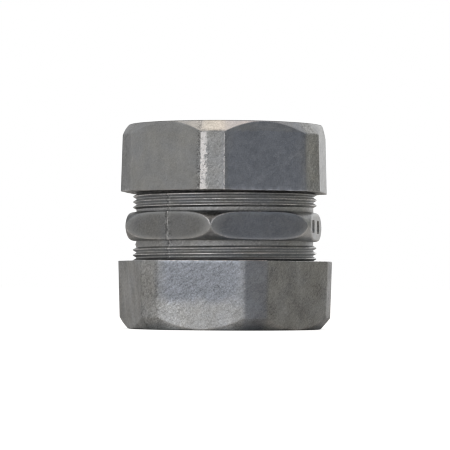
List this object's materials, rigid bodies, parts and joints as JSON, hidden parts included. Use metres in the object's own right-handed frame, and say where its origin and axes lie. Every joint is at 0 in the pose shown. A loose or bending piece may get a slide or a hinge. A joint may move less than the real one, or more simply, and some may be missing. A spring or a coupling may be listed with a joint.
{
  "type": "conduit compression coupling",
  "caption": "Straight compression coupling for thin-wall conduit: threaded cast body with a wrench band, a twelve-faced gland nut on each end, and split gripping rings inside.",
  "frame": {"origin": "centre of the bore, half way between the two ends", "axes": "+Z along the conduit, out of the upper socket; +X to the right and +Y to the back as the picture shows the object"},
  "size_m": [0.0726, 0.0732, 0.069],
  "materials": {
    "cast_zinc": "dull grey as-cast zinc alloy, fine grain, lightly burnished edges",
    "plated_steel": "zinc-plated spring steel, satin",
    "seal_rubber": "matt black moulded rubber"
  },
  "bodies": {
    "body": {"center_body": "cast_zinc"},
    "upper_washer": {"upper_slip_washer": "plated_steel"},
    "upper_nut": {"upper_compression_nut": "cast_zinc", "upper_sealing_ring": "seal_rubber"},
    "upper_grip": {"upper_gripping_ring": "plated_steel"},
    "lower_washer": {"lower_slip_washer": "plated_steel"},
    "lower_nut": {"lower_compression_nut": "cast_zinc", "lower_sealing_ring": "seal_rubber"},
    "lower_grip": {"lower_gripping_ring": "plated_steel"}
  },
  "joints": [
    {"name": "upper_washer_slide", "type": "slide", "parent": "body", "child": "upper_washer", "axis": [0, 0, 1], "range_m": [-0.00227, 0.00635]},
    {"name": "upper_nut_turn", "type": "hinge", "parent": "upper_washer", "child": "upper_nut", "pos_m": [0, 0, 0.023], "axis": [0, 0, 1], "range_deg": [-450, 1260]},
    {"name": "upper_grip_slide", "type": "slide", "parent": "body", "child": "upper_grip", "axis": [0, 0, 1], "range_m": [-0.0023, 0.0064]},
    {"name": "lower_washer_slide", "type": "slide", "parent": "body", "child": "lower_washer", "axis": [0, 0, -1], "range_m": [-0.00227, 0.00635]},
    {"name": "lower_nut_turn", "type": "hinge", "parent": "lower_washer", "child": "lower_nut", "pos_m": [0, 0, -0.023], "axis": [0, 0, -1], "range_deg": [-450, 1260]},
    {"name": "lower_grip_slide", "type": "slide", "parent": "body", "child": "lower_grip", "axis": [0, 0, -1], "range_m": [-0.0023, 0.0064]}
  ],
  "couplings": [
    {"joint": "upper_nut_turn", "follows": "upper_washer_slide", "rad_per_m": 3463.2},
    {"joint": "upper_grip_slide", "follows": "upper_washer_slide", "ratio": 1},
    {"joint": "lower_nut_turn", "follows": "lower_washer_slide", "rad_per_m": 3463.2},
    {"joint": "lower_grip_slide", "follows": "lower_washer_slide", "ratio": 1}
  ]
}
